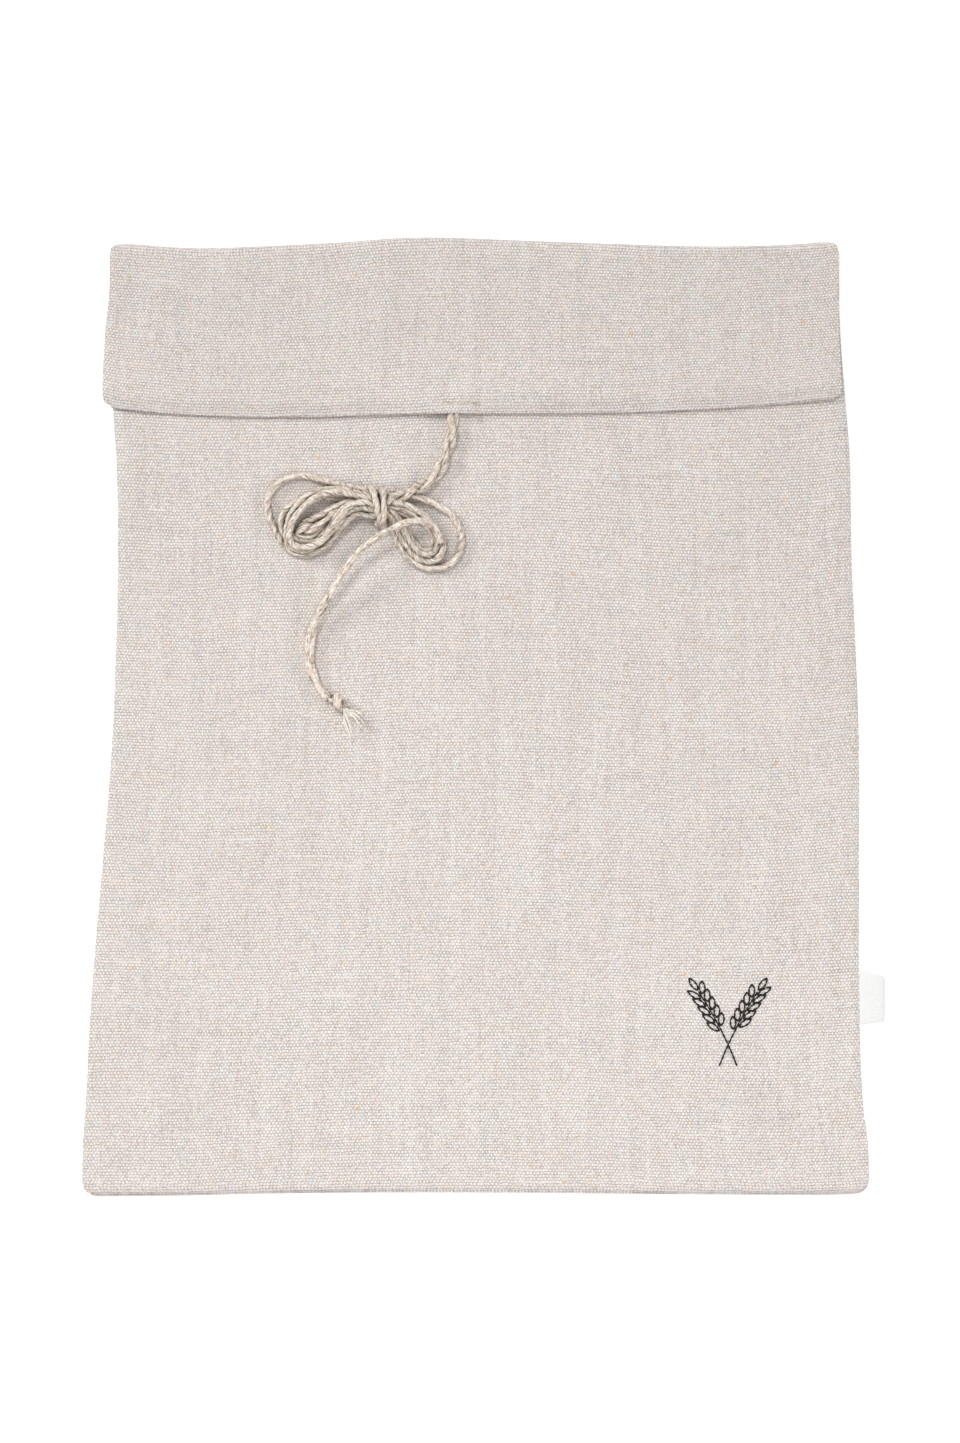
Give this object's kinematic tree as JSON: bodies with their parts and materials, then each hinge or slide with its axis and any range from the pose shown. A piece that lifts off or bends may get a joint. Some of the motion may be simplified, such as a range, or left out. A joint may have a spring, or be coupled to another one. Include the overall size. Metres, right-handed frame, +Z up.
{
  "type": "linen bread bag",
  "caption": "Flat linen bread bag lying on its back, its mouth folded over as a flap, a twine tie wound into a bow on the front and a plain tape label in the side seam.",
  "frame": {"origin": "on the surface under the middle of the bag's outline, label included and twine left out", "axes": "+Z up from the surface, +Y from the bottom seam towards the fold, +X to the right of the front as it is read"},
  "size_m": [0.3096, 0.3689, 0.0147],
  "materials": {
    "linen": "plain-woven natural linen, matt",
    "tape": "smooth white woven tape",
    "twine": "two-ply linen twine, matt and slightly hairy"
  },
  "bodies": {
    "root": {"back_panel": "linen", "front_panel": "linen", "side_label": "tape", "twine_lead_left": "twine", "twine_lead_right": "twine", "twine_bow": "twine", "twine_tail": "twine", "twine_knot": "twine"}
  },
  "joints": []
}
